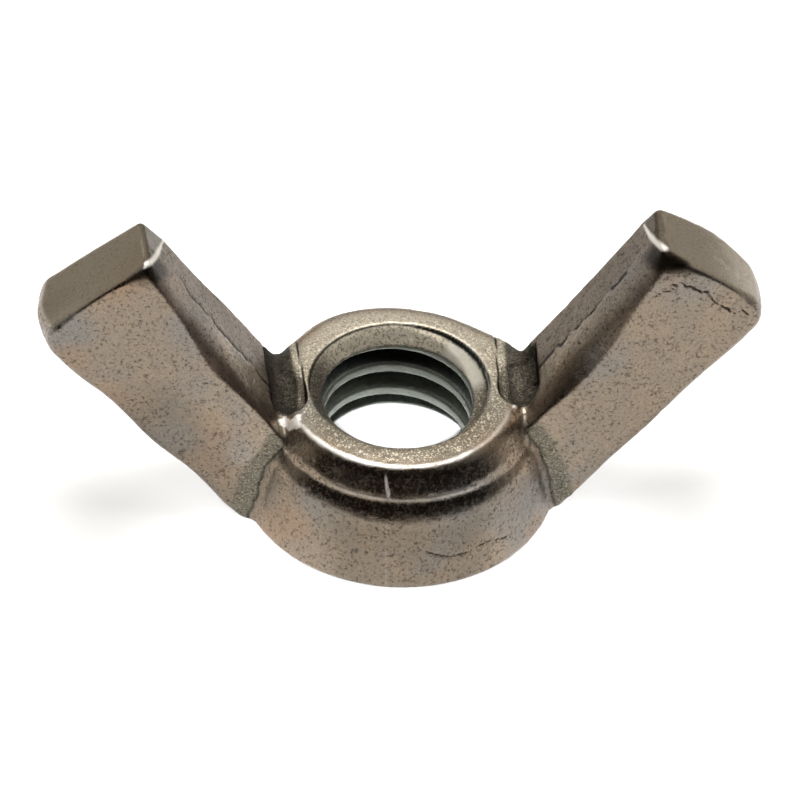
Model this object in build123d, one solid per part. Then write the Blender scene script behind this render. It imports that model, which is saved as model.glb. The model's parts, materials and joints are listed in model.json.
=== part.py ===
from build123d import *
import math
import os

# Cold-forged steel wing nut, light series, for a 5/16-18 UNC stud. Units are millimetres.
#
# The nut is one forging: a tapered hub with a stepped collar round its top, and two thumb wings that rise
# from opposite sides of the hub. The thread is tapped through the hub, and both of the bore's mouths are
# countersunk.
#
# Frame: the origin is the centre of the flat seat under the hub, +Z runs up the thread axis towards the wing
# tips, and the wings lie along +X and -X. The dies part at the plane Y = 0.

# Thread: 5/16-18 UNC. The bore is plain, at the radius of the thread's crests.
THREAD_MINOR_RADIUS = 3.30
TOP_COUNTERSINK_RADIUS = 4.03
SEAT_COUNTERSINK_RADIUS = 4.65

# Hub: radii, and heights above the seat.
HUB_HEIGHT = 5.6
SEAT_RADIUS = 6.95
BASE_RADIUS = 7.2
BASE_HEIGHT = 0.3
SHOULDER_RADIUS = 6.35
SHOULDER_HEIGHT = 3.55
NECK_RADIUS = 5.75
NECK_HEIGHT = 4.2
COLLAR_RADIUS = 5.6
RIM_RADIUS = 4.75

# Wings, seen from the front: the inner edge climbs from the foot, beside the collar, to the tip.
FOOT_X = 5.35
FOOT_Z = 4.97
INNER_EDGE_ANGLE = 57.5
OUTER_EDGE_ANGLE = 50.0
WING_LENGTH = 11.25
TIP_WIDTH = 6.1
BURIED_LENGTH = 3.0
INNER_CORNER_RADIUS = 0.8
OUTER_CORNER_RADIUS = 1.6

# Wings, seen along their outer edge: they thin towards the tip.
ROOT_THICKNESS = 4.9
TIP_THICKNESS = 3.5
EDGE_RADIUS = 0.45

# Pockets that the trimming punch leaves between the collar and the wings.
POCKET_X = 5.0
POCKET_WIDTH = 1.4
POCKET_FRONT_Y = -1.2
POCKET_FLOOR_Z = 4.85

inner_angle = math.radians(INNER_EDGE_ANGLE)
outer_angle = math.radians(OUTER_EDGE_ANGLE)
inner_edge = Vector(math.cos(inner_angle), 0, math.sin(inner_angle))
outer_edge = Vector(math.cos(outer_angle), 0, math.sin(outer_angle))
across_wing = Vector(math.sin(inner_angle), 0, -math.cos(inner_angle))


def hub_blank():
    """The hub before drilling: a turned profile, from the seat up to the collar's rounded edge."""
    collar_edge_radius = COLLAR_RADIUS - RIM_RADIUS
    with BuildPart() as hub:
        with BuildSketch(Plane.XZ):
            with BuildLine():
                Polyline(
                    (RIM_RADIUS, HUB_HEIGHT),
                    (0, HUB_HEIGHT),
                    (0, 0),
                    (SEAT_RADIUS, 0),
                    (BASE_RADIUS, BASE_HEIGHT),
                    (SHOULDER_RADIUS, SHOULDER_HEIGHT),
                    (NECK_RADIUS, NECK_HEIGHT),
                    (COLLAR_RADIUS, HUB_HEIGHT - collar_edge_radius),
                )
                RadiusArc(
                    (COLLAR_RADIUS, HUB_HEIGHT - collar_edge_radius),
                    (RIM_RADIUS, HUB_HEIGHT),
                    -collar_edge_radius,
                )
            make_face()
        revolve(axis=Axis.Z)
    return hub.part


def wing():
    """The +X wing: its front outline and its taper, intersected, with the edges rounded."""
    foot = Vector(FOOT_X, 0, FOOT_Z)
    inner_tip = foot + inner_edge * WING_LENGTH
    outer_tip = inner_tip + across_wing * TIP_WIDTH
    outer_root = outer_tip - outer_edge * (WING_LENGTH + BURIED_LENGTH)
    inner_root = foot - inner_edge * BURIED_LENGTH

    corners = [(point.X, point.Z) for point in (inner_root, inner_tip, outer_tip, outer_root)]
    with BuildSketch(Plane.XZ) as outline:
        Polygon(*corners, align=None)
        fillet(outline.vertices().sort_by(Axis.Y)[-2], OUTER_CORNER_RADIUS)
        fillet(outline.vertices().sort_by(Axis.Y)[-1], INNER_CORNER_RADIUS)
    front_view = extrude(outline.sketch, amount=ROOT_THICKNESS / 2, both=True)

    taper_plane = Plane(origin=inner_root, x_dir=inner_edge, z_dir=across_wing)
    reach = BURIED_LENGTH + WING_LENGTH
    half_root = ROOT_THICKNESS / 2
    half_tip = TIP_THICKNESS / 2
    with BuildSketch(taper_plane) as taper:
        Polygon((0, -half_root), (reach, -half_tip), (reach, half_tip), (0, half_root), align=None)
    edge_view = extrude(taper.sketch, amount=3 * TIP_WIDTH, both=True)

    blade = front_view & edge_view
    front_face = blade.faces().sort_by(Axis.Y)[0]
    back_face = blade.faces().sort_by(Axis.Y)[-1]
    return fillet(front_face.edges() + back_face.edges(), EDGE_RADIUS)


def bore():
    """The drilled hole with its two 45-degree countersinks, as the material to take away."""
    top_depth = TOP_COUNTERSINK_RADIUS - THREAD_MINOR_RADIUS
    seat_depth = SEAT_COUNTERSINK_RADIUS - THREAD_MINOR_RADIUS
    hole = Pos(0, 0, HUB_HEIGHT / 2) * Cylinder(THREAD_MINOR_RADIUS, 2 * HUB_HEIGHT)
    top = Pos(0, 0, HUB_HEIGHT - top_depth / 2) * Cone(THREAD_MINOR_RADIUS, TOP_COUNTERSINK_RADIUS, top_depth)
    seat = Pos(0, 0, seat_depth / 2) * Cone(SEAT_COUNTERSINK_RADIUS, THREAD_MINOR_RADIUS, seat_depth)
    return hole + top + seat


def pocket():
    """The +X pocket, as the material to take away: a slot with a round front end, open at the back."""
    end_radius = POCKET_WIDTH / 2
    height = HUB_HEIGHT
    length = BASE_RADIUS
    round_end_y = POCKET_FRONT_Y + end_radius
    middle_z = POCKET_FLOOR_Z + height / 2
    slot = Pos(POCKET_X, round_end_y + length / 2, middle_z) * Box(POCKET_WIDTH, length, height)
    return slot + Pos(POCKET_X, round_end_y, middle_z) * Cylinder(end_radius, height)


def wing_nut():
    """The whole forging, bored."""
    right_wing = wing()
    right_pocket = pocket()
    forging = hub_blank() + right_wing + right_wing.mirror(Plane.YZ)
    below_seat = Pos(0, 0, -HUB_HEIGHT / 2) * Box(4 * BASE_RADIUS, 4 * BASE_RADIUS, HUB_HEIGHT)
    return forging - right_pocket - right_pocket.mirror(Plane.YZ) - below_seat - bore()


os.makedirs("parts", exist_ok=True)
nut = wing_nut()
nut.label = "wing_nut"
export_step(nut, "parts/wing_nut.step")
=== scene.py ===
"""Looks of a cold-forged, zinc-plated wing nut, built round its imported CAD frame.

The nut is one closed mesh. Its shape is a signed field in millimetres, negative inside the metal: a
hub with a stepped collar, two wings, two pockets and a helical thread, blended with round edges. The
mesh is taken off that field, and is then pushed in and out along its normals by the relief of the
forged skin.
"""

import json
import math

import bpy
import numpy as np
from mathutils import Matrix, Vector
from mathutils.kdtree import KDTree


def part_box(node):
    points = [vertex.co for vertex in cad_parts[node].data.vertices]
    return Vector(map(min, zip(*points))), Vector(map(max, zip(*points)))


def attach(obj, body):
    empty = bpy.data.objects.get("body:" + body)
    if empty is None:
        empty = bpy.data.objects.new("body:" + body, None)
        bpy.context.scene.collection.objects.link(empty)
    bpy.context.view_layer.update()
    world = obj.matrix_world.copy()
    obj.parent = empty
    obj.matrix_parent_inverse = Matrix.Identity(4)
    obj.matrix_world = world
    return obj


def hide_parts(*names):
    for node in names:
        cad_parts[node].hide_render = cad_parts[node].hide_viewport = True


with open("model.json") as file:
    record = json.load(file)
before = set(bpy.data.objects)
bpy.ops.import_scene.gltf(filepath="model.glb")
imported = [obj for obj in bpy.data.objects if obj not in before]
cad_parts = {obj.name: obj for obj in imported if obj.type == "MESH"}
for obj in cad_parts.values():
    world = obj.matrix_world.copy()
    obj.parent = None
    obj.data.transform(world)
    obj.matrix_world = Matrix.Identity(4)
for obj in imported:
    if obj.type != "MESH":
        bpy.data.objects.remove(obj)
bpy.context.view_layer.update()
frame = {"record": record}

# --------------------------------------------------------------------------------------------------
# Sizes in millimetres. The frame gives the box and the thread; the rest are the forging's own.
# --------------------------------------------------------------------------------------------------

MM = 0.001
BODY = "root"
NODE = "wing_nut"

_, cad_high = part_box(NODE)
mounts = {mount["name"]: mount for mount in frame["record"]["mounts"]}

BASE_RADIUS = cad_high.y / MM
HALF_SPAN = cad_high.x / MM
TOTAL_HEIGHT = cad_high.z / MM
CREST_RADIUS = mounts["thread"]["dims"]["r_mm"]

PITCH = 25.4 / 18
ROOT_RADIUS = 3.97
THREAD_PHASE = 0.75
ROOT_FLAT = PITCH / 8
TOP_COUNTERSINK_RADIUS = 4.03
SEAT_COUNTERSINK_RADIUS = 4.65

HUB_HEIGHT = 5.6
HUB_OFFSET_X = 0.1

FOOT_X = 5.35
FOOT_Z = 4.97
INNER_EDGE_ANGLE = math.radians(57.5)

GRID_STEP = 0.118


def round_max(a, b, radius):
    """Intersection of two fields, with the convex edge rounded."""
    over_a = np.maximum(a + radius, 0)
    over_b = np.maximum(b + radius, 0)
    return np.minimum(np.maximum(a, b), -radius) + np.hypot(over_a, over_b)


def round_min(a, b, radius):
    """Union of two fields, with the concave corner filled to a fillet."""
    return -round_max(-a, -b, radius)


def side_of_line(u, v, start, end):
    """Distance of (u, v) from the line from start to end, positive on its right-hand side."""
    run, rise = end[0] - start[0], end[1] - start[1]
    length = math.hypot(run, rise)
    return ((u - start[0]) * rise - (v - start[1]) * run) / length


def smooth_step(x, low, high):
    """0 below low, 1 above high, and a smooth climb between them."""
    t = np.clip((x - low) / (high - low), 0, 1)
    return t * t * (3 - 2 * t)


def hump(x, middle, width):
    """1 at the middle, falling off like a bell on both sides."""
    return np.exp(-((x - middle) / width) ** 2)


def blend(ends, share):
    """The value a share of the way from the first of two ends to the second."""
    return ends[0] + (ends[1] - ends[0]) * share


# --------------------------------------------------------------------------------------------------
# The field
# --------------------------------------------------------------------------------------------------

HUB_BASE = (BASE_RADIUS, 0.3)
HUB_SHOULDER = (6.44, 3.62)
HUB_NECK = (5.97, 4.2)
COLLAR_LIP = (5.93, 4.41)
COLLAR_BROW = (5.27, 5.43)
COLLAR_CROWN = (4.55, HUB_HEIGHT)

SHOULDER_ROUNDING = 0.18
HUB_FOOT_ROUNDING = 0.3
LIP_ROUNDING = 0.08
BROW_ROUNDING = 0.22
CROWN_ROUNDING = 0.15
NECK_FILLET = 0.06

# Where the collar is pressed off round, as (direction in degrees, spread in degrees, height).
COLLAR_SWELLINGS = ((122, 28, 0.34), (21, 17, 0.6), (157, 14, 0.35))


def hub_field(x, y, z):
    """The turned shape: a cone, a shoulder, and the domed collar that stands on it."""
    angle = np.degrees(np.arctan2(y, x))
    swelling = sum(height * hump(angle, middle, width) for middle, width, height in COLLAR_SWELLINGS)
    radius = np.hypot(x - HUB_OFFSET_X, y)
    cone = side_of_line(radius, z, HUB_BASE, HUB_SHOULDER)
    shoulder = side_of_line(radius, z, HUB_SHOULDER, HUB_NECK)
    body = round_max(cone, shoulder, SHOULDER_ROUNDING)
    body = np.maximum(round_max(body, -z, HUB_FOOT_ROUNDING), z - COLLAR_LIP[1])

    radius = radius - swelling
    lip = side_of_line(radius, z, HUB_NECK, COLLAR_LIP)
    brow = side_of_line(radius, z, COLLAR_LIP, COLLAR_BROW)
    crown = side_of_line(radius, z, COLLAR_BROW, COLLAR_CROWN)
    collar = round_max(round_max(lip, brow, LIP_ROUNDING), crown, BROW_ROUNDING)
    collar = round_max(collar, z - HUB_HEIGHT, CROWN_ROUNDING)
    return round_min(body, collar, NECK_FILLET)


# The lip where the hammered end of each wing is folded over its inner face, as places (along, y) from
# back to front.
TIP_LIPS = {
    1: ((9.85, 1.5), (10.1, 0.6), (10.4, -0.2), (10.65, -0.8)),
    -1: ((9.6, 1.7), (10.5, -0.26), (11.1, -1.35), (11.12, -1.5)),
}
LIP_SLOPE = 0.13

# One set of sizes for each wing: the forging left them a little different.
# "tilt", "crown", "front_crown": the lean of the end, and its crowning, over all and at the front alone.
# "width", "spread", "wave": the outer edge's distance from the inner one, its growth and its waviness.
# "outer_corner": the rounding between the end and the outer edge.
# "front", "back": the distances of the two faces from the middle plane, at the foot and at the tip.
# "back_taper": how much thinner the back half becomes towards the outer edge.
# "facet": the width of the bevel along the inner edge, where it is widest, and how far it reaches.
# "cut": the plane that takes off the tip's front corner, as its normal and its depth.
WINGS = {
    1: {
        "length": 10.93, "tilt": 0.0, "crown": 0.036, "front_crown": 0.0,
        "width": 4.62, "spread": 0.113, "wave": 0.04, "outer_corner": 1.05,
        "front": (2.3, 1.62), "back": (2.12, 1.88), "back_taper": 0.75,
        "facet": (0.8, 4.3, 4.0), "cut": (0.42, -0.3, -0.857, 0.55),
    },
    -1: {
        "length": 11.17, "tilt": 0.085, "crown": 0.0, "front_crown": 0.03,
        "width": 4.52, "spread": 0.137, "wave": 0.09, "outer_corner": 0.95,
        "front": (2.3, 1.57), "back": (2.95, 1.68), "back_taper": 0.1,
        "facet": (0.6, 4.9, 2.6), "cut": (0.45, -0.25, -0.857, 0.4),
    },
}

# The inner side: its draft from the parting line, its flare towards the tip, and its bevel.
DRAFT = 0.09
DRAFT_COSINE = 0.996
BACK_DRAFT_SHARE = 0.4
PARTING_STEP = 0.1
TIP_FLARE = 0.11
TIP_FLARE_START = 6.5
FACET_TILT = math.radians(48)
FACET_ROUNDING = 0.4
FACET_FOOT_LOSS = 0.1

# The outer side's bulge and waves, and the place across the wing that the end's crown is centred on.
OUTER_BULGE = 0.38
WAVE_START = 1.4
WAVE_LENGTH = 5.4
END_MIDDLE = 2.2

# The edges' roundings. The front edge is sharper, and grows rounder to the outside and to the tip.
EDGE_ROUNDING = 0.25
FRONT_EDGE_ROUNDING = 0.06
FRONT_EDGE_EXTRA_OUTSIDE = 0.28
FRONT_EDGE_EXTRA_AT_TIP = 0.14


def wing_coordinates(x, z, side):
    """Places along the inner edge from the foot, and across the wing from that edge."""
    out_x, up_z = side * x - FOOT_X, z - FOOT_Z
    cos_a, sin_a = math.cos(INNER_EDGE_ANGLE), math.sin(INNER_EDGE_ANGLE)
    return out_x * cos_a + up_z * sin_a, out_x * sin_a - up_z * cos_a


def inner_side(along, across, y, half_front, side):
    """The wing's inner side: drafted both ways from the parting line, and bevelled along its front edge."""
    length = WINGS[side]["length"]
    draft = DRAFT * np.where(y > 0, BACK_DRAFT_SHARE, 1)
    face = (draft * np.abs(y) - across - PARTING_STEP) * DRAFT_COSINE
    face -= TIP_FLARE * smooth_step(along, TIP_FLARE_START, length)
    widest, middle, reach = WINGS[side]["facet"]
    width = widest * hump(along, middle, reach) - FACET_FOOT_LOSS * smooth_step(along, 2.5, 0.5)
    facet = -(y + half_front) * math.cos(FACET_TILT) - (across - width) * math.sin(FACET_TILT)
    inner = round_max(face, facet, FACET_ROUNDING)

    (lip_along, lip_y), _, (next_along, next_y) = TIP_LIPS[side][:3]
    slant = math.hypot(next_along - lip_along, next_y - lip_y)
    past_lip = (along - lip_along) * (lip_y - next_y) + (y - lip_y) * (next_along - lip_along)
    return np.maximum(inner, inner + LIP_SLOPE * past_lip / slant)


def outer_side(along, across, y, half_front, side):
    """The wing's outer side: bulged in the middle and a little wavy."""
    sizes = WINGS[side]
    off_middle = np.minimum(np.abs(y) / half_front, 1.2)
    bulge = OUTER_BULGE * (1 - off_middle ** 2)
    wave = sizes["wave"] * np.sin((along - WAVE_START) * 2 * math.pi / WAVE_LENGTH)
    return across - sizes["width"] - sizes["spread"] * along - wave - bulge


def wing_end(along, across, y, half_front, side):
    """The blunt end of the wing, leaning and crowned."""
    sizes = WINGS[side]
    crown = sizes["crown"] + sizes["front_crown"] * smooth_step(y, 0.5, -half_front)
    return along - sizes["length"] + sizes["tilt"] * across + crown * (across - END_MIDDLE) ** 2


def wing_field(x, y, z, side):
    """One wing: its end, its inner and outer sides, its two faces and the cut at its front corner."""
    sizes = WINGS[side]
    length = sizes["length"]
    along, across = wing_coordinates(x, z, side)
    share = np.clip(along / length, -0.2, 1.1)
    half_front = blend(sizes["front"], share)
    half_back = blend(sizes["back"], share) - sizes["back_taper"] * smooth_step(across, 2.6, 6.2)

    end = wing_end(along, across, y, half_front, side)
    wing = round_max(end, inner_side(along, across, y, half_front, side), EDGE_ROUNDING)
    wing = round_max(wing, outer_side(along, across, y, half_front, side), sizes["outer_corner"])
    edge_radius = FRONT_EDGE_ROUNDING + FRONT_EDGE_EXTRA_OUTSIDE * smooth_step(across, 3.4, 4.8)
    edge_radius = edge_radius + FRONT_EDGE_EXTRA_AT_TIP * smooth_step(along, length - 1, length)
    wing = round_max(wing, -y - half_front, edge_radius)
    wing = round_max(wing, y - half_back, EDGE_ROUNDING)

    lengthwise, crosswise, forwards, depth = sizes["cut"]
    corner = (along - length) * lengthwise + across * crosswise + (y + half_front) * forwards + depth
    return round_max(wing, corner, EDGE_ROUNDING)


POCKETS = {1: {"x": 5.3, "half_width": 0.87}, -1: {"x": 4.97, "half_width": 0.77}}
POCKET_SPLAY = 0.06
POCKET_FRONT_Y = -1.27
POCKET_FLOOR_Z = 4.75
POCKET_RISE = 0.28
POCKET_RISE_Y = -0.5
POCKET_END_Y = 1.0
POCKET_END_CURVE = 1.2
POCKET_SLOPE = 0.55
POCKET_BOTTOM = 0.35
POCKET_ROUNDING = 0.2


def off_pocket_middle(x, y, side):
    """Distance from the middle line of a pocket, in the plane."""
    sizes = POCKETS[side]
    across = side * x - sizes["x"] - POCKET_SPLAY * np.maximum(y, 0)
    past_end = np.minimum(y - (POCKET_FRONT_Y + sizes["half_width"]), 0)
    return np.hypot(across, past_end)


def pocket_field(x, y, z, side):
    """The pocket that the trimming punch left beside the collar, round in front and open at the back."""
    from_middle = off_pocket_middle(x, y, side)
    low_point = POCKET_FLOOR_Z + POCKET_RISE * np.maximum(y - POCKET_RISE_Y, 0)
    low_point += POCKET_END_CURVE * np.maximum(y - POCKET_END_Y, 0) ** 2
    floor = low_point + POCKET_SLOPE * np.hypot(from_middle, POCKET_BOTTOM) - z
    walls = from_middle - POCKETS[side]["half_width"]
    return round_max(walls, floor / math.hypot(1, POCKET_SLOPE), POCKET_ROUNDING)


# The thread's flanks make the field steep, so it is scaled down there.
THREAD_FIELD_SCALE = 0.5
FLANK_ANGLE = math.radians(30)
COUNTERSINK_CAP = 0.5


def bore_field(x, y, z):
    """The threaded hole and its two countersinks, negative in the hole."""
    radius = np.hypot(x, y)
    turn = np.arctan2(y, x) / (2 * math.pi)
    from_root = np.abs((z / PITCH - turn - THREAD_PHASE + 0.5) % 1.0 - 0.5) * PITCH
    flank = ROOT_RADIUS - (from_root - ROOT_FLAT / 2) / math.tan(FLANK_ANGLE)
    wall = np.clip(flank, CREST_RADIUS, ROOT_RADIUS)
    thread = (radius - wall) * THREAD_FIELD_SCALE
    top = (radius - TOP_COUNTERSINK_RADIUS + HUB_HEIGHT - z) / math.sqrt(2)
    top = np.maximum(top, z - HUB_HEIGHT - COUNTERSINK_CAP)
    seat = (radius - SEAT_COUNTERSINK_RADIUS + z) / math.sqrt(2)
    return np.minimum(thread, np.minimum(top, seat))


WING_ROOT_FILLET = 0.45
SEAT_EDGE_ROUNDING = 0.1
POCKET_EDGE_ROUNDING = 0.06
BORE_EDGE_ROUNDING = 0.05


def nut_field(points):
    """The whole nut, without its skin's relief."""
    x, y, z = points
    solid = hub_field(x, y, z)
    for side in (-1, 1):
        solid = round_min(solid, wing_field(x, y, z, side), WING_ROOT_FILLET)
    solid = round_max(solid, -z, SEAT_EDGE_ROUNDING)
    for side in (-1, 1):
        solid = round_max(solid, -pocket_field(x, y, z, side), POCKET_EDGE_ROUNDING)
    return round_max(solid, -bore_field(x, y, z), BORE_EDGE_ROUNDING)


# --------------------------------------------------------------------------------------------------
# From field to mesh
# --------------------------------------------------------------------------------------------------

# The space left round the nut, how far apart slopes are measured, and how the points settle.
MARGIN = 0.6
GRADIENT_REACH = 0.01
NORMAL_REACH = 0.03
LEAST_STEEPNESS = 0.05
LONGEST_MOVE = 0.1
FIRST_SETTLING = 3
LATER_SETTLING = 2
EVENING_ROUNDS = 3
EVENING_SHARE = 0.5


def surface_net(field, low, step):
    """A closed quad mesh round the field's negative part: one vertex per cell that the surface crosses."""
    cells = np.array(field.shape)
    strides = np.array([cells[1] * cells[2], cells[2], 1])
    ids, places, quads = [], [], []
    for axis in range(3):
        near = [slice(None)] * 3
        far = [slice(None)] * 3
        near[axis], far[axis] = slice(None, -1), slice(1, None)
        before, after = field[tuple(near)], field[tuple(far)]
        crossed = np.argwhere((before < 0) != (after < 0))
        value_before = before[tuple(crossed.T)]
        value_after = after[tuple(crossed.T)]
        place = crossed.astype(float)
        place[:, axis] += value_before / (value_before - value_after)
        first, second = strides[(axis + 1) % 3], strides[(axis + 2) % 3]
        here = crossed @ strides
        ring = np.stack([here, here - first, here - first - second, here - second], axis=1)
        leaving = value_before < 0
        ring[~leaving] = ring[~leaving][:, ::-1]
        quads.append(ring)
        ids.append(ring.ravel())
        places.append(np.repeat(place, 4, axis=0))
    _, vertex_of = np.unique(np.concatenate(ids), return_inverse=True)
    places = np.concatenate(places)
    count = np.bincount(vertex_of)
    points = np.stack([np.bincount(vertex_of, places[:, i]) / count for i in range(3)], axis=1)
    faces = vertex_of.reshape(-1, 4)
    return low + points * step, faces


def gradient(field, points, reach):
    """Central differences of the field at each point."""
    slopes = np.empty_like(points)
    for axis in range(3):
        shift = np.zeros(3)
        shift[axis] = reach
        slopes[:, axis] = (field((points + shift).T) - field((points - shift).T)) / (2 * reach)
    return slopes


def settle(field, points, rounds):
    """Moves points onto the field's surface along its gradient."""
    for _ in range(rounds):
        slopes = gradient(field, points, GRADIENT_REACH)
        steepness = np.maximum((slopes ** 2).sum(axis=1), LEAST_STEEPNESS)
        moves = np.clip(field(points.T) / steepness, -LONGEST_MOVE, LONGEST_MOVE)
        points = points - slopes * moves[:, None]
    return points


def evened(points, faces, share):
    """Points pulled part of the way to the mean of their neighbours."""
    ends = np.concatenate([faces, np.roll(faces, -1, axis=1)], axis=0)
    other = np.concatenate([np.roll(faces, -1, axis=1), faces], axis=0)
    count = np.bincount(ends.ravel(), minlength=len(points))
    sums = [np.bincount(ends.ravel(), points[other.ravel(), i], len(points)) for i in range(3)]
    mean = np.stack(sums, axis=1) / count[:, None]
    return points + share * (mean - points)


def unit(vectors):
    """The vectors, each made 1 long."""
    return vectors / np.maximum(np.linalg.norm(vectors, axis=1), 1e-9)[:, None]


def field_mesh():
    """Points on the nut's surface and the quads between them."""
    low = np.array([-HALF_SPAN, -BASE_RADIUS, 0]) - MARGIN
    high = np.array([HALF_SPAN, BASE_RADIUS, TOTAL_HEIGHT + MARGIN]) + MARGIN
    axes = [np.arange(low[i], high[i], GRID_STEP) for i in range(3)]
    grid = np.meshgrid(*axes, indexing="ij", sparse=True)
    points, faces = surface_net(nut_field(grid), low, GRID_STEP)
    points = settle(nut_field, points, FIRST_SETTLING)
    for _ in range(EVENING_ROUNDS):
        points = settle(nut_field, evened(points, faces, EVENING_SHARE), LATER_SETTLING)
    return points, faces


# --------------------------------------------------------------------------------------------------
# The forged skin: relief that moves the surface, and masks that the material reads
# --------------------------------------------------------------------------------------------------

rng = np.random.default_rng(518)


def ripples(points, shortest, longest, count=36):
    """Irregular smooth noise between two wavelengths, about -2 to 2, as a sum of plane waves."""
    total = np.zeros(len(points))
    for _ in range(count):
        direction = rng.normal(size=3)
        wavelength = rng.uniform(shortest, longest)
        turn = 2 * math.pi * direction / np.linalg.norm(direction) / wavelength
        total += np.cos(points @ turn + rng.uniform(0, 2 * math.pi))
    return total * math.sqrt(2 / count)


def dents(points, count, smallest, largest):
    """Round pits at random places: 1 in the middle of a pit, 0 outside."""
    tree = KDTree(len(points))
    for index, point in enumerate(points):
        tree.insert(point, index)
    tree.balance()
    depth = np.zeros(len(points))
    for centre in rng.choice(len(points), count, replace=False):
        radius = rng.uniform(smallest, largest)
        for _, index, distance in tree.find_range(points[centre], radius):
            depth[index] = max(depth[index], (1 - (distance / radius) ** 2) ** 2)
    return depth


def off_path(u, v, path):
    """Distance of each (u, v) from a line through the path's points, and how far to its left it lies."""
    nearest = np.full(len(u), np.inf)
    leftward = np.zeros(len(u))
    for (u0, v0), (u1, v1) in zip(path, path[1:]):
        run, rise = u1 - u0, v1 - v0
        share = np.clip(((u - u0) * run + (v - v0) * rise) / (run ** 2 + rise ** 2), 0, 1)
        distance = np.hypot(u - u0 - share * run, v - v0 - share * rise)
        left = ((v - v0) * run - (u - u0) * rise) / math.hypot(run, rise)
        leftward = np.where(distance < nearest, left, leftward)
        nearest = np.minimum(nearest, distance)
    return nearest, leftward


# Laps and cracks of the forging: on the right wing's front face as (along, across), and on the hub as
# (degrees, z).
TIP_CRACKS = (
    ((9.7, 0.95), (9.99, 1.34), (10.04, 2.24), (10.15, 2.55), (9.84, 3.29), (9.81, 4.43)),
    ((10.27, 4.4), (10.0, 4.77), (10.14, 5.4)),
    ((8.85, 0.68), (9.21, 0.95), (9.73, 1.26)),
)
HUB_CRACK = ((-84.6, 1.9), (-77, 1.46), (-72, 1.42), (-67, 1.53), (-61, 1.6), (-57, 1.49), (-50, 1.27))
CRACK_WIDTH = 0.07
SEAM_X = -1.05
SEAM_WIDTH = 0.075

# The burrs, as (x, y, z, size).
BURRS = ((-4.9, -1.95, 5.35, 0.4), (-5.25, -1.6, 5.3, 0.3), (4.97, -1.45, 5.35, 0.17))

# How deep the skin is probed for edges, and how far out for corners.
EDGE_REACH = 0.25
RECESS_REACH = 0.5

PIT_COUNT = 1100
PIT_RADII = (0.1, 0.22)

BROAD_RELIEF = 0.012
WOBBLE_RELIEF = 0.0045
FINE_RELIEF = 0.0015
PIT_DEPTH = 0.018
GRAINY_RELIEF = 0.006
LINE_DEPTH = 0.045
RIDGE_HEIGHT = 0.03

MASKS = (
    "edge", "recess", "thread", "crest_highlight", "countersink", "facet", "sink_light", "crown", "line",
    "ridge_and_highlight", "pocket", "painted_shade", "root", "inner_face", "stain_and_shade", "end", "folded", "polished",
)


class Skin:
    """The nut's surface points, the noises that break up its features, and the material's masks."""

    def __init__(self, points, normals):
        self.points = points
        self.normals = normals
        self.x, self.y, self.z = points.T
        self.facing_x, self.facing_y, self.facing_z = normals.T
        self.radius = np.hypot(self.x, self.y)
        self.angle = np.degrees(np.arctan2(self.y, self.x - HUB_OFFSET_X))
        self.wobble = ripples(points, 0.7, 3.0)
        self.fine = ripples(points, 0.3, 0.7)
        self.broad = ripples(points, 3.0, 8.0)
        self.masks = {name: np.zeros(len(points)) for name in MASKS}

    def mark(self, name, values):
        """Adds values to a mask, where they are stronger than what it holds."""
        self.masks[name] = np.maximum(self.masks[name], values)


def mark_edges(skin):
    """Convex edges, and corners that the light doesn't reach, where shade is painted."""
    inside = nut_field((skin.points - skin.normals * EDGE_REACH).T)
    outside = nut_field((skin.points + skin.normals * RECESS_REACH).T)
    skin.mark("edge", np.clip(1 + inside / EDGE_REACH, 0, 1))
    skin.mark("recess", np.clip(1 - outside / RECESS_REACH, 0, 1))


def mark_bore(skin):
    """The thread, with painted highlights on its crests and lower turns, and the countersink: a machined
    facet on its right, painted light behind, painted shade on the left.
    """
    radius, angle, z = skin.radius, skin.angle, skin.z
    in_bore = smooth_step(bore_field(skin.x, skin.y, z), 0.06, 0.03) * smooth_step(radius, 4.8, 4.6)
    countersink = in_bore * smooth_step(skin.facing_z, 0.45, 0.6) * smooth_step(z, 4.6, 4.8)
    thread = np.clip(in_bore - countersink, 0, 1)
    skin.mark("countersink", countersink)
    skin.mark("facet", countersink * smooth_step(angle, 0, 12) * smooth_step(angle, 54, 48))
    # Painted light on the back of the countersink.
    skin.mark("sink_light", countersink * smooth_step(angle, 45, 60) * smooth_step(angle, 160, 130))
    # Painted shade on the countersink's left.
    skin.mark("painted_shade", 0.65 * countersink * smooth_step(np.abs(angle), 135, 165))
    skin.mark("thread", thread)
    # Painted highlights on the thread's crests and lower turns.
    skin.mark("crest_highlight", thread * smooth_step(radius, CREST_RADIUS + 0.14, CREST_RADIUS + 0.04))
    skin.mark("crest_highlight", 0.45 * thread * smooth_step(z, 4.0, 2.8))


def mark_crown(skin):
    """The flat top of the collar, and the dark line round the back of the bore's mouth."""
    radius, z = skin.radius, skin.z
    on_top = smooth_step(skin.facing_z, 0.982, 0.996) * smooth_step(z, 5.3, 5.45)
    skin.mark("crown", on_top * smooth_step(radius, 6.6, 6.4))
    at_back = smooth_step(z, 5.3, 5.4) * smooth_step(skin.y, -1.5, 0.5)
    skin.mark("line", 0.75 * hump(radius, TOP_COUNTERSINK_RADIUS, 0.11) * at_back)


def mark_end(skin, side, along, on_wing):
    """The wing's blunt end."""
    endward = side * skin.facing_x * math.cos(INNER_EDGE_ANGLE) + skin.facing_z * math.sin(INNER_EDGE_ANGLE)
    skin.mark("end", on_wing * smooth_step(endward, 0.8, 0.93) * smooth_step(along, 9, 9.6))


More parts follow.
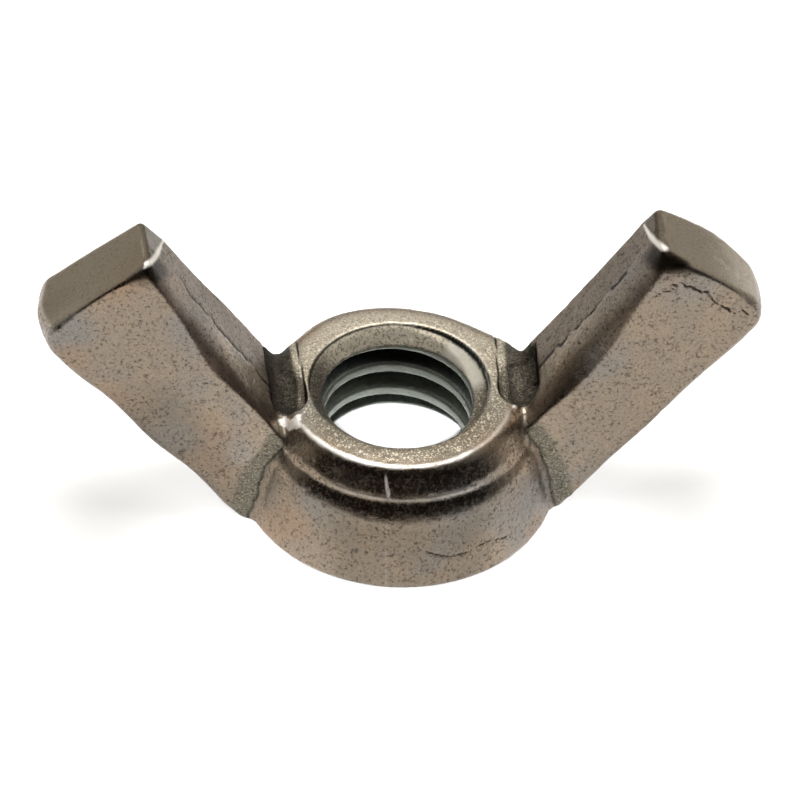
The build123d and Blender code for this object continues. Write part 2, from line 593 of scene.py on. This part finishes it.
def mark_inner_face(skin, side, along, inner_face):
    """The lip folded over the inner face, with a painted highlight along its edge, and the brown face below
    it, with its stains and painted dark reflection.
    """
    y = skin.y
    off_lip, past_lip = off_path(along, y, TIP_LIPS[side])
    past_lip = smooth_step(past_lip, 0, 0.1) * smooth_step(along, 9, 9.4)
    lip_width = 0.07 + 0.07 * smooth_step(y, 1.4, 0.2) * smooth_step(y, -1.6, -0.9)
    skin.mark("folded", inner_face * past_lip)
    # Painted highlight along the lip's edge, which is also raised a little.
    skin.mark("ridge_and_highlight", inner_face * hump(off_lip, 0, lip_width) * smooth_step(along, 9.4, 9.6))

    open_face = inner_face * (1 - past_lip)
    brown_share = np.maximum(smooth_step(y, -0.4, 0.4), 0.65 * smooth_step(along, 4.0, 7.0))
    stain_and_shade_strength = 0.75 - 0.25 * side
    near_front = smooth_step(y + 0.1 * skin.wobble, -0.8, -1.8)
    under_lip = smooth_step(off_lip, 1.35, 0.65) * smooth_step(y, 0.3, -0.7)
    skin.mark("inner_face", open_face * brown_share)
    # Brown stains and painted dark reflection near the front edge and under the lip.
    skin.mark("stain_and_shade", stain_and_shade_strength * open_face * near_front)
    skin.mark("stain_and_shade", open_face * under_lip)
    # Painted shade under the lip.
    skin.mark("painted_shade", open_face * under_lip)


def mark_parting_line(skin, side, along, on_inner):
    """The torn line along the middle of the inner face, where the die's halves met."""
    length = WINGS[side]["length"]
    parting = skin.y + 0.09 * skin.wobble + 0.02 * skin.fine - 0.05
    torn = 0.6 + 0.4 * smooth_step(skin.wobble + 0.5 * skin.broad, -1.5, 0.5)
    torn *= smooth_step(along, length - 1.6, length - 3)
    skin.mark("line", on_inner * torn * hump(parting, 0, 0.1))
    # A faint painted highlight beside the line.
    skin.mark("ridge_and_highlight", 0.15 * on_inner * torn * hump(parting, -0.16, 0.08))


def mark_front_face(skin, side, along, across):
    """The darker band and the groove at the wing's root, and the painted shade on the low front of the left
    wing.
    """
    x, y, z = skin.points.T
    off_hub = hub_field(x, y, z) + 0.03 * skin.wobble
    faces_front = skin.facing_y < -0.6
    at_root = faces_front * (side * x > 0) * smooth_step(y, -1.4, -2.0) * smooth_step(along, 4, 1)
    at_root = at_root * smooth_step(wing_field(x, y, z, side), 0.3, 0.15)
    skin.mark("root", at_root * smooth_step(off_hub, 0.0, 0.15) * smooth_step(off_hub, 1.15, 0.85))
    skin.mark("line", 0.62 * at_root * hump(off_hub, 0.15, 0.08))
    low_part = faces_front * (x < 0) * smooth_step(across, 1.5, 3.5) * smooth_step(along, 7, 4)
    # Painted shade on the low front of the left wing.
    skin.mark("painted_shade", 0.28 * low_part * smooth_step(off_hub, 0.5, 1.2))


def mark_pocket(skin, side):
    """The pocket beside the collar, with painted shade on the wing's side, and a line round its rim."""
    x, y, z = skin.points.T
    off_rim = off_pocket_middle(x, y, side) - POCKETS[side]["half_width"]
    near_pocket = (z > 4.6) * (z < 6.2) * (side * x > 0) * smooth_step(skin.radius, 6.9, 6.5)
    in_pocket = smooth_step(off_rim, 0.02, -0.05) * near_pocket
    off_shade = off_pocket_middle(x - 0.25 * side, y, side) + 0.04 * skin.wobble
    shade_strength = 0.94 - 0.06 * side
    skin.mark("pocket", in_pocket)
    # Painted shade in the pocket, on the wing's side.
    skin.mark("painted_shade", shade_strength * in_pocket * smooth_step(off_shade, 0.8, 0.62))
    skin.mark("line", 0.9 * hump(off_rim, 0, CRACK_WIDTH) * near_pocket)


def mark_wing(skin, side):
    """All the marks of one wing."""
    along, across = wing_coordinates(skin.x, skin.z, side)
    on_wing = smooth_step(along, 0.2, 0.8) * (side * skin.x > 0)
    inward = -side * skin.facing_x * math.sin(INNER_EDGE_ANGLE) + skin.facing_z * math.cos(INNER_EDGE_ANGLE)
    inner_face = on_wing * smooth_step(across, 1.3, 0.9) * smooth_step(skin.facing_y, -0.96, -0.88)
    inner_face = inner_face * smooth_step(inward, 0.05, 0.3)
    on_inner = on_wing * smooth_step(inward, 0.75, 0.9) * smooth_step(across, 0.9, 0.5)
    mark_end(skin, side, along, on_wing)
    mark_inner_face(skin, side, along, inner_face)
    mark_parting_line(skin, side, along, on_inner)
    mark_front_face(skin, side, along, across)
    mark_pocket(skin, side)


def mark_tip_cracks(skin):
    """The cracks near the end of the right wing's front face."""
    along, across = wing_coordinates(skin.x, skin.z, 1)
    on_face = smooth_step(skin.facing_y, -0.8, -0.95) * (skin.x > 0)
    for path in TIP_CRACKS:
        off_crack, _ = off_path(along + 0.04 * skin.fine, across + 0.03 * skin.wobble, path)
        skin.mark("line", 0.85 * hump(off_crack, 0, CRACK_WIDTH) * on_face)


def mark_hub_side(skin):
    """The crack, the seam and the ledge on the front of the hub, with painted highlights on the seam and
    the ledge, and painted shade on its cone.
    """
    x, z = skin.x, skin.z
    off_side = np.abs(x)
    on_front = smooth_step(skin.radius, 5.2, 5.5) * smooth_step(off_side, 5.6, 5.2)
    on_front = on_front * smooth_step(skin.y, -2, -3)
    rim_length = BASE_RADIUS * math.pi / 180
    hub_crack = [(degrees * rim_length, height) for degrees, height in HUB_CRACK]
    off_crack, _ = off_path(skin.angle * rim_length, z + 0.04 * skin.wobble, hub_crack)
    skin.mark("line", 0.8 * on_front * hump(off_crack, 0, CRACK_WIDTH))

    ledge_z = blend((HUB_NECK[1], COLLAR_LIP[1]), 0.5)
    # Painted highlight on the ledge.
    skin.mark("ridge_and_highlight", 0.4 * on_front * hump(z, ledge_z, 0.08) * smooth_step(off_side, 4.6, 2.5))
    on_cone = smooth_step(z, HUB_SHOULDER[1], HUB_SHOULDER[1] - 0.8) * smooth_step(off_side, 4.5, 2.5)
    # Painted shade on the hub's cone.
    skin.mark("painted_shade", 0.36 * on_front * on_cone)
    seam = hump(x + 0.03 * skin.wobble, SEAM_X, SEAM_WIDTH) * on_front
    on_collar = smooth_step(z, COLLAR_LIP[1] - 0.1, COLLAR_LIP[1] + 0.2)
    # Painted highlight on the seam.
    skin.mark("ridge_and_highlight", seam * blend((0.25, 1.0), on_collar))


def mark_brow(skin):
    """The collar's burnished front, and a painted highlight along its upper edge."""
    angle, radius, z = skin.angle, skin.radius, skin.z
    off_brow = np.hypot(radius - COLLAR_BROW[0] + 0.22, z - COLLAR_BROW[1] - 0.03)
    brow_highlight = smooth_step(angle, -165, -150) * smooth_step(angle, -35, -60)
    brow_highlight *= 0.75 + 0.25 * smooth_step(angle, -95, -125)
    brow_highlight *= 0.55 + 0.45 * smooth_step(skin.wobble + 0.6 * skin.fine, -1.2, 0.6)
    skin.mark("ridge_and_highlight", brow_highlight * hump(off_brow + 0.02 * skin.fine, 0, 0.14))
    right_brow_highlight = 0.4 * smooth_step(angle, -65, -45) * smooth_step(angle, -15, -25)
    skin.mark("ridge_and_highlight", right_brow_highlight * hump(off_brow, 0, 0.14))
    on_front = smooth_step(radius, 4.45, 4.7) * smooth_step(radius, 6.7, 6.5) * smooth_step(skin.y, -2, -4)
    skin.mark("polished", on_front * smooth_step(z, HUB_SHOULDER[1] - 0.2, HUB_SHOULDER[1] + 0.1))


def mark_burrs(skin):
    """Nicks where the wings' front corners meet the collar, raised a little and painted as bright
    highlights.
    """
    for burr_x, burr_y, burr_z, size in BURRS:
        off_burr = np.sqrt((skin.x - burr_x) ** 2 + (skin.y - burr_y) ** 2 + (skin.z - burr_z) ** 2)
        off_burr += 0.2 * size * (0.5 * skin.wobble + skin.fine)
        skin.mark("ridge_and_highlight", smooth_step(off_burr, size * 1.15, size * 0.75))


def marked_skin(points, normals):
    """The skin with all its marks."""
    skin = Skin(points, normals)
    mark_edges(skin)
    mark_bore(skin)
    mark_crown(skin)
    for side in (-1, 1):
        mark_wing(skin, side)
    mark_tip_cracks(skin)
    mark_hub_side(skin)
    mark_brow(skin)
    mark_burrs(skin)
    return skin


def relief(skin):
    """How far the skin stands in or out at each point."""
    masks = skin.masks
    rough_part = (1 - 0.85 * masks["thread"]) * (1 - 0.6 * masks["end"]) * smooth_step(skin.z, 0, 0.3)
    pits = dents(skin.points, PIT_COUNT, *PIT_RADII)
    waves = BROAD_RELIEF * skin.broad + WOBBLE_RELIEF * skin.wobble + FINE_RELIEF * skin.fine
    height = rough_part * (waves - PIT_DEPTH * pits)
    height += GRAINY_RELIEF * (masks["pocket"] + masks["root"]) * skin.fine
    return height - LINE_DEPTH * masks["line"] + RIDGE_HEIGHT * masks["ridge_and_highlight"]


def add_masks(mesh, masks):
    """Stores the masks on the mesh's points, where the material finds them."""
    for name, values in masks.items():
        attribute = mesh.attributes.new(name, "FLOAT", "POINT")
        attribute.data.foreach_set("value", values.astype(np.float32))


def mesh_object(name, points, faces):
    """An object from points in millimetres and the faces between them."""
    mesh = bpy.data.meshes.new(name)
    mesh.from_pydata((points * MM).tolist(), [], faces.tolist())
    mesh.validate()
    mesh.shade_smooth()
    piece = bpy.data.objects.new(name, mesh)
    bpy.context.scene.collection.objects.link(piece)
    return piece


# --------------------------------------------------------------------------------------------------
# Materials
# --------------------------------------------------------------------------------------------------


def add_node(tree, kind, inputs=None, **settings):
    """A new node, with its settings, and with its inputs given values or linked to other nodes' outputs."""
    node = tree.nodes.new(kind)
    for name, value in settings.items():
        setattr(node, name, value)
    for name, value in (inputs or {}).items():
        if isinstance(value, bpy.types.NodeSocket):
            tree.links.new(value, node.inputs[name])
        else:
            node.inputs[name].default_value = value
    return node


def mix_colour(tree, share, first, second):
    """The first colour, turned into the second by the share."""
    node = add_node(tree, "ShaderNodeMix", data_type="RGBA")
    for socket, value in ((node.inputs[0], share), (node.inputs[6], first), (node.inputs[7], second)):
        if isinstance(value, bpy.types.NodeSocket):
            tree.links.new(value, socket)
        else:
            socket.default_value = value
    return node.outputs[2]


def calculate(tree, operation, first, second):
    """The result of a math node."""
    return add_node(tree, "ShaderNodeMath", {0: first, 1: second}, operation=operation).outputs[0]


def rising(tree, value, low, high):
    """0 where the value is below low, 1 above high."""
    limits = {"Value": value, "From Min": low, "From Max": high}
    return add_node(tree, "ShaderNodeMapRange", limits, interpolation_type="SMOOTHSTEP").outputs["Result"]


def spread(tree, value, low, high):
    """A value between 0 and 1, mapped to low..high."""
    limits = {"Value": value, "To Min": low, "To Max": high}
    return add_node(tree, "ShaderNodeMapRange", limits).outputs["Result"]


def noise(tree, place, size, detail=2.0, roughness=0.5):
    """Cloudy noise between 0 and 1, with clouds of about the given size in millimetres."""
    inputs = {"Vector": place, "Scale": 1 / size, "Detail": detail, "Roughness": roughness}
    return add_node(tree, "ShaderNodeTexNoise", inputs).outputs["Fac"]


def mask(tree, name):
    """One of the skin's masks."""
    return add_node(tree, "ShaderNodeAttribute", attribute_name=name).outputs["Fac"]


def times(tree, value, amount):
    """The value times an amount, or times another value."""
    return calculate(tree, "MULTIPLY", value, amount)


def tint(tree, colour, value, amount, target):
    """The colour, turned into the target by the value times the amount."""
    return mix_colour(tree, times(tree, value, amount), colour, target)


WARM_ZINC = (0.255, 0.20, 0.147, 1)
COOL_ZINC = (0.232, 0.194, 0.153, 1)
BLUISH_ZINC = (0.19, 0.186, 0.182, 1)
ORANGE_ZINC = (0.29, 0.188, 0.118, 1)
SPECK = (0.035, 0.026, 0.02, 1)
# Tiny painted highlight specks on the open zinc.
GLINT_SPECK = (0.36, 0.30, 0.23, 1)
# Painted highlight specks on the sandy zinc.
PAINTED_GLINT = (0.8, 0.72, 0.56, 1)
# Worn edges, and the painted highlights on lips, seams, ledges and nicks.
WORN_AND_HIGHLIGHT = (0.85, 0.81, 0.76, 1)
# Dark grains of the sandy zinc, and the painted shade in the corners.
DARK_GRAIN_AND_SHADE = (0.075, 0.062, 0.047, 1)
# The thread's dark tone, partly painted shade in the bore.
THREAD_DARK_AND_SHADE = (0.10, 0.115, 0.11, 1)
# Painted highlights on the thread's crests.
THREAD_CREST_HIGHLIGHT = (0.42, 0.44, 0.40, 1)
FACET_STEEL = (0.66, 0.63, 0.55, 1)
# The inner faces' brown: partly their duller zinc, partly painted shade.
INNER_BROWN_AND_SHADE = (0.12, 0.092, 0.067, 1)
# The folded lip, darkened as painted shade.
FOLDED_SHADE = (0.085, 0.069, 0.05, 1)
# The sandy zinc's olive, painted paler towards the back as painted reflection.
LIT_BACK_OLIVE = (0.5, 0.455, 0.37, 1)
# Painted light on the back of the countersink.
PAINTED_SINK_LIGHT = (0.8, 0.73, 0.6, 1)
# Brown stains and painted dark reflection on the inner faces.
BROWN_STAIN_AND_SHADE = (0.055, 0.033, 0.026, 1)
DARKER_FRONT_OLIVE = (0.125, 0.112, 0.085, 1)
# The ends' olive: partly their smoother zinc, partly painted reflection.
END_TONE_AND_REFLECTION = (0.345, 0.29, 0.22, 1)
# The darker band at the wings' roots.
ROOT_DARK = (0.12, 0.116, 0.09, 1)
# Painted shade: in the pockets, under the lips, on the countersink's left, on the hub's cone and on the
# left wing's low front.
PAINTED_SHADE_COLOUR = (0.015, 0.012, 0.009, 1)
CRACK = (0.012, 0.009, 0.007, 1)

# What each kind of surface adds to the zinc's roughness.
ROUGHNESS_CHANGES = {
    "recess": 0.3, "inner_face": 0.15, "thread": 0.12, "root": 0.15, "countersink": 0.3, "pocket": 0.3,
    "polished": -0.05,
}
OTHER_NOISE_SHIFT = (31, 17, 5)
BUMP_DEPTH = 0.014


class Zinc:
    """The noises and kinds of surface that the zinc's colour, roughness and bumps are made from."""

    def __init__(self, tree):
        self.tree = tree
        object_place = add_node(tree, "ShaderNodeTexCoord").outputs["Object"]
        to_millimetres = {0: object_place, "Scale": 1 / MM}
        place = add_node(tree, "ShaderNodeVectorMath", to_millimetres, operation="SCALE").outputs[0]
        shift = {0: place, 1: OTHER_NOISE_SHIFT}
        other_place = add_node(tree, "ShaderNodeVectorMath", shift, operation="ADD").outputs[0]
        self.y_place = add_node(tree, "ShaderNodeSeparateXYZ", {"Vector": place}).outputs["Y"]

        self.clouds = noise(tree, place, 4.5, 1.0)
        self.other_clouds = noise(tree, other_place, 3.6, 1.0)
        self.mottle = noise(tree, place, 1.1, 3.0, 0.6)
        self.grain = noise(tree, place, 0.15, 2.0, 0.65)
        self.coarse_grain = noise(tree, other_place, 0.13, 2.0, 0.7)
        self.sparkle = noise(tree, other_place, 0.085, 1.0)
        patches = noise(tree, other_place, 0.7, 1.0)
        self.uneven_grain = calculate(tree, "ADD", self.grain, spread(tree, patches, -0.06, 0.06))

        self.bare = bare_share(tree)
        self.grainy = grainy_share(tree)
        self.flecks = times(tree, rising(tree, self.uneven_grain, 0.49, 0.68), self.bare)
        # Where highlights are painted.
        self.ridge_highlight = rising(tree, mask(tree, "ridge_and_highlight"), 0.1, 0.9)


def bare_share(tree):
    """Where the zinc is open and flecked: less so on the ends, the crown and the countersink."""
    smooth_end = calculate(tree, "MAXIMUM", mask(tree, "end"), mask(tree, "folded"))
    bare = calculate(tree, "SUBTRACT", 1.0, times(tree, smooth_end, 0.5))
    bare = calculate(tree, "SUBTRACT", bare, times(tree, mask(tree, "crown"), 0.6))
    return calculate(tree, "SUBTRACT", bare, times(tree, mask(tree, "countersink"), 0.6))


def grainy_share(tree):
    """Where the zinc is sandy: on the crown, the countersink and the pockets, and a little at the roots."""
    grainy = calculate(tree, "MAXIMUM", times(tree, mask(tree, "crown"), 0.85), mask(tree, "countersink"))
    grainy = calculate(tree, "MAXIMUM", grainy, mask(tree, "pocket"))
    return calculate(tree, "MAXIMUM", grainy, times(tree, mask(tree, "root"), 0.2))


def mottled_colour(zinc):
    """The mottled zinc; the wings' ends, folds and inner faces in tones that are partly their own and
    partly painted reflection and shade; and the darker roots.
    """
    tree = zinc.tree
    colour = mix_colour(tree, rising(tree, zinc.mottle, 0.3, 0.7), WARM_ZINC, COOL_ZINC)
    colour = tint(tree, colour, rising(tree, zinc.clouds, 0.5, 0.72), 0.7, BLUISH_ZINC)
    colour = tint(tree, colour, rising(tree, zinc.other_clouds, 0.55, 0.75), 0.5, ORANGE_ZINC)
    # Painted reflection and shade on the ends, folds and inner faces, over their own tones.
    colour = tint(tree, colour, mask(tree, "end"), 0.8, END_TONE_AND_REFLECTION)
    colour = tint(tree, colour, mask(tree, "folded"), 0.9, FOLDED_SHADE)
    colour = tint(tree, colour, mask(tree, "inner_face"), 0.85, INNER_BROWN_AND_SHADE)
    return tint(tree, colour, mask(tree, "root"), 0.75, ROOT_DARK)


def flecked_colour(zinc, colour):
    """The colour with dark flecks and painted highlight specks on the open zinc, and with the brown stains
    and painted dark reflection.
    """
    tree = zinc.tree
    colour = tint(tree, colour, zinc.flecks, 0.5, SPECK)
    deep_flecks = times(tree, rising(tree, zinc.uneven_grain, 0.63, 0.7), zinc.bare)
    colour = tint(tree, colour, deep_flecks, 0.4, SPECK)
    # Tiny painted highlight specks.
    pale = times(tree, rising(tree, zinc.sparkle, 0.52, 0.68), zinc.bare)
    colour = tint(tree, colour, pale, 0.35, GLINT_SPECK)
    # Brown stains and painted dark reflection.
    stained_and_shaded = times(tree, mask(tree, "stain_and_shade"), spread(tree, zinc.mottle, 0.7, 1.2))
    return tint(tree, colour, stained_and_shaded, 0.8, BROWN_STAIN_AND_SHADE)


def sandy_colour(zinc, colour):
    """The colour with the sandy zinc, painted paler towards the back as painted reflection, with painted
    highlight specks and its dark grains.
    """
    tree = zinc.tree
    # Painted paler towards the back, as painted reflection.
    olive = mix_colour(tree, rising(tree, zinc.y_place, -3.0, 4.0), DARKER_FRONT_OLIVE, LIT_BACK_OLIVE)
    colour = tint(tree, colour, zinc.grainy, 0.7, olive)
    colour = tint(tree, colour, mask(tree, "sink_light"), 0.8, PAINTED_SINK_LIGHT)
    # Painted highlight specks.
    painted_glints = times(tree, rising(tree, zinc.sparkle, 0.52, 0.66), zinc.grainy)
    colour = tint(tree, colour, painted_glints, 0.62, PAINTED_GLINT)
    dark_grain = times(tree, rising(tree, zinc.coarse_grain, 0.48, 0.64), zinc.grainy)
    return tint(tree, colour, dark_grain, 0.6, DARK_GRAIN_AND_SHADE)


def worn_colour(zinc, colour):
    """The colour with worn edges, painted shade in the corners and other shaded places, the thread, painted
    highlights on raised lines and nicks, and cracks.
    """
    tree = zinc.tree
    worn_edge = rising(tree, mask(tree, "edge"), 0.35, 0.9)
    colour = tint(tree, colour, times(tree, worn_edge, spread(tree, zinc.mottle, 0.0, 0.35)), 1.0, WORN_AND_HIGHLIGHT)
    # Painted shade in the concave corners.
    corner = rising(tree, mask(tree, "recess"), 0.12, 0.6)
    colour = tint(tree, colour, times(tree, corner, spread(tree, zinc.mottle, 0.5, 1.0)), 0.8, DARK_GRAIN_AND_SHADE)
    colour = tint(tree, colour, mask(tree, "facet"), 0.9, FACET_STEEL)
    # Painted shade.
    colour = tint(tree, colour, mask(tree, "painted_shade"), 0.9, PAINTED_SHADE_COLOUR)
    # The thread: dark, partly painted shade, with painted highlights on its crests.
    in_thread = mix_colour(tree, mask(tree, "crest_highlight"), THREAD_DARK_AND_SHADE, THREAD_CREST_HIGHLIGHT)
    colour = tint(tree, colour, mask(tree, "thread"), 1.0, in_thread)
    # Painted highlights.
    colour = tint(tree, colour, zinc.ridge_highlight, 1.0, WORN_AND_HIGHLIGHT)
    return tint(tree, colour, rising(tree, mask(tree, "line"), 0.3, 0.75), 0.95, CRACK)


def zinc_roughness(zinc):
    """How dull the zinc is: mottled, and changed by the kind of surface."""
    tree = zinc.tree
    rough = spread(tree, zinc.mottle, 0.22, 0.34)
    rough = calculate(tree, "ADD", rough, times(tree, zinc.flecks, 0.2))
    rough = calculate(tree, "ADD", rough, times(tree, zinc.ridge_highlight, 0.3))
    for name, amount in ROUGHNESS_CHANGES.items():
        rough = calculate(tree, "ADD", rough, times(tree, mask(tree, name), amount))
    return rough


def zinc_bumps(zinc):
    """The grain that is too fine for the mesh, flatter where the collar is polished."""
    tree = zinc.tree
    pitting = calculate(tree, "SUBTRACT", zinc.grain, times(tree, zinc.flecks, 0.6))
    height = times(tree, pitting, zinc.bare)
    height = times(tree, height, spread(tree, mask(tree, "polished"), 1.0, 0.4))
    sand = times(tree, times(tree, zinc.coarse_grain, zinc.grainy), 0.5)
    height = calculate(tree, "ADD", height, sand)
    inputs = {"Height": height, "Strength": 0.8, "Distance": BUMP_DEPTH * MM}
    return add_node(tree, "ShaderNodeBump", inputs).outputs["Normal"]


def zinc_material():
    """Dull zinc over forged steel: mottled, finely speckled, bright on worn edges, dark in the hollows."""
    material = bpy.data.materials.new("zinc_plated_steel")
    material.use_nodes = True
    tree = material.node_tree
    shader = tree.nodes["Principled BSDF"]
    zinc = Zinc(tree)
    colour = mottled_colour(zinc)
    colour = flecked_colour(zinc, colour)
    colour = sandy_colour(zinc, colour)
    colour = worn_colour(zinc, colour)
    tree.links.new(colour, shader.inputs["Base Color"])
    tree.links.new(zinc_roughness(zinc), shader.inputs["Roughness"])
    tree.links.new(zinc_bumps(zinc), shader.inputs["Normal"])
    shader.inputs["Metallic"].default_value = 1.0
    return material


# The ring of the floor under the nut's seat, from its inner to its outer radius.
HIDDEN_RING = (SEAT_COUNTERSINK_RADIUS + 0.1, BASE_RADIUS - 0.4)


def floor_material():
    """Matt and pale, and clear from below and where the seat hides it, so that the seat can be seen."""
    material = bpy.data.materials.new("pale_floor")
    material.use_nodes = True
    tree = material.node_tree
    shader = tree.nodes["Principled BSDF"]
    shader.inputs["Base Color"].default_value = (0.88, 0.88, 0.88, 1)
    shader.inputs["Roughness"].default_value = 0.9
    shader.inputs["Specular IOR Level"].default_value = 0.1
    place = add_node(tree, "ShaderNodeTexCoord").outputs["Object"]
    off_axis = add_node(tree, "ShaderNodeVectorMath", {0: place}, operation="LENGTH").outputs["Value"]
    inner, outer = HIDDEN_RING
    past_inner = calculate(tree, "GREATER_THAN", off_axis, inner * MM)
    before_outer = calculate(tree, "LESS_THAN", off_axis, outer * MM)
    hidden = times(tree, past_inner, before_outer)
    from_below = add_node(tree, "ShaderNodeNewGeometry").outputs["Backfacing"]
    clear = add_node(tree, "ShaderNodeBsdfTransparent").outputs["BSDF"]
    mix = add_node(tree, "ShaderNodeMixShader", {"Fac": calculate(tree, "MAXIMUM", hidden, from_below)})
    tree.links.new(shader.outputs["BSDF"], mix.inputs[1])
    tree.links.new(clear, mix.inputs[2])
    tree.links.new(mix.outputs["Shader"], tree.nodes["Material Output"].inputs["Surface"])
    return material


# --------------------------------------------------------------------------------------------------
# Stage
# --------------------------------------------------------------------------------------------------

CAMERA_AZIMUTH = math.radians(-7.38)
CAMERA_ELEVATION = math.radians(44.77)
CAMERA_ROLL = math.radians(3.21)
CAMERA_DISTANCE = 178.4
CAMERA_LENS = 177.1
CAMERA_PIVOT = Vector((0, 0, 0.6))
AIM_RIGHT = 0.05
AIM_UP = 2.95

# The room's walls, and its brighter and darker parts, each painted over those before it: a direction,
# the degrees from it where the part's full colour ends and where the part ends, and the colour.
ROOM = (0.50, 0.49, 0.46, 1)
ROOM_PARTS = (
    ((0.1, 0.7, 0.75), 16, 46, (1.3, 1.28, 1.22, 1)),
    ((-0.1, -1, 0), 70, 92, (0.010, 0.006, 0.004, 1)),
    ((0, 0.15, 1), 13, 20, (8.0, 8.0, 7.9, 1)),
)

# The soft lights for the floor, as name, place, width, height and watts.
FILL_LIGHTS = (
    ("front_fill", (0, -170, 260), 240, 160, 0.35),
    ("left_fill", (-260, 40, 160), 200, 200, 0.25),
    ("right_fill", (260, 40, 160), 200, 200, 0.25),
)
BORE_LIGHT_PLACE = (-28, -218, 218)
BORE_LIGHT_AIM = (0, 3.0, 0)
BORE_LIGHT_WIDTH = math.radians(2.0)
BORE_LIGHT_WATTS = 24.0

FLOOR_HALF_SIZE = 1000
FLOOR_DROP = 0.03


def make_floor():
    """A wide floor, just clear of the nut's seat."""
    half = FLOOR_HALF_SIZE * MM
    mesh = bpy.data.meshes.new("floor")
    corners = [(-half, -half, 0), (half, -half, 0), (half, half, 0), (-half, half, 0)]
    mesh.from_pydata(corners, [], [(0, 1, 2, 3)])
    mesh.materials.append(floor_material())
    floor = bpy.data.objects.new("floor", mesh)
    floor.location.z = -FLOOR_DROP * MM
    bpy.context.scene.collection.objects.link(floor)


def make_camera():
    """A long lens, above the nut's front and a little to its left, with a slight roll."""
    right = Vector((math.cos(CAMERA_AZIMUTH), math.sin(CAMERA_AZIMUTH), 0))
    level = Vector((-math.sin(CAMERA_AZIMUTH), math.cos(CAMERA_AZIMUTH), 0))
    forward = level * math.cos(CAMERA_ELEVATION) - Vector((0, 0, math.sin(CAMERA_ELEVATION)))
    up = right.cross(forward)
    place = CAMERA_PIVOT - forward * CAMERA_DISTANCE
    aim = CAMERA_PIVOT + right * AIM_RIGHT + up * AIM_UP
    back = (place - aim).normalized()
    rolled_right = right * math.cos(CAMERA_ROLL) + up * math.sin(CAMERA_ROLL)
    rolled_up = back.cross(rolled_right).normalized()
    rolled_right = rolled_up.cross(back)

    data = bpy.data.cameras.new("camera")
    data.lens = CAMERA_LENS
    data.clip_start = 0.01
    data.clip_end = 10
    camera = bpy.data.objects.new("camera", data)
    turn = Matrix((rolled_right, rolled_up, back)).transposed().to_4x4()
    camera.matrix_world = Matrix.Translation(place * MM) @ turn
    bpy.context.scene.collection.objects.link(camera)
    bpy.context.scene.camera = camera


def add_light(kind, name, place, aim, watts):
    """A light that doesn't show in the metal."""
    data = bpy.data.lights.new(name, kind)
    data.energy = watts
    light = bpy.data.objects.new(name, data)
    light.location = Vector(place) * MM
    light.rotation_mode = "QUATERNION"
    light.rotation_quaternion = (Vector(aim) - Vector(place)).to_track_quat("-Z", "Y")
    light.visible_glossy = False
    bpy.context.scene.collection.objects.link(light)
    return data


def fill_light(name, place, width, height, watts):
    """A soft light for the floor, aimed at the nut."""
    data = add_light("AREA", name, place, (0, 0, 0), watts)
    data.shape = "RECTANGLE"
    data.size, data.size_y = width * MM, height * MM


def bore_light():
    """A narrow beam down through the bore, on to the floor that can be seen in it."""
    data = add_light("SPOT", "bore_light", BORE_LIGHT_PLACE, BORE_LIGHT_AIM, BORE_LIGHT_WATTS)
    data.spot_size = BORE_LIGHT_WIDTH
    data.spot_blend = 0.4
    data.shadow_soft_size = 10 * MM


def direction_spot(tree, direction, inner_angle, outer_angle):
    """1 within inner_angle of a direction of the sky, 0 beyond outer_angle."""
    seen = add_node(tree, "ShaderNodeTexCoord").outputs["Generated"]
    unit_seen = add_node(tree, "ShaderNodeVectorMath", {0: seen}, operation="NORMALIZE").outputs[0]
    aim = {0: unit_seen, 1: Vector(direction).normalized()}
    closeness = add_node(tree, "ShaderNodeVectorMath", aim, operation="DOT_PRODUCT").outputs["Value"]
    return rising(tree, closeness, math.cos(outer_angle), math.cos(inner_angle))


def make_world():
    """A pale room with a bright soft ceiling panel, and a dark side where the camera stands."""
    world = bpy.data.worlds.new("studio")
    bpy.context.scene.world = world
    world.use_nodes = True
    tree = world.node_tree
    sky = ROOM
    for direction, inner_angle, outer_angle, colour in ROOM_PARTS:
        part = direction_spot(tree, direction, math.radians(inner_angle), math.radians(outer_angle))
        sky = mix_colour(tree, part, sky, colour)
    tree.links.new(sky, tree.nodes["Background"].inputs["Color"])


# --------------------------------------------------------------------------------------------------
# Assembly
# --------------------------------------------------------------------------------------------------

nut_points, nut_faces = field_mesh()
nut_normals = unit(gradient(nut_field, nut_points, NORMAL_REACH))
nut_skin = marked_skin(nut_points, nut_normals)
relief_height = relief(nut_skin)
nut = mesh_object("forged_wing_nut", nut_points + nut_normals * relief_height[:, None], nut_faces)
add_masks(nut.data, nut_skin.masks)
nut.data.materials.append(zinc_material())
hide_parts(NODE)
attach(nut, BODY)

make_floor()
make_world()
for light_name, light_place, light_width, light_height, light_watts in FILL_LIGHTS:
    fill_light(light_name, light_place, light_width, light_height, light_watts)
bore_light()
make_camera()
bpy.context.scene.view_settings.view_transform = "Standard"
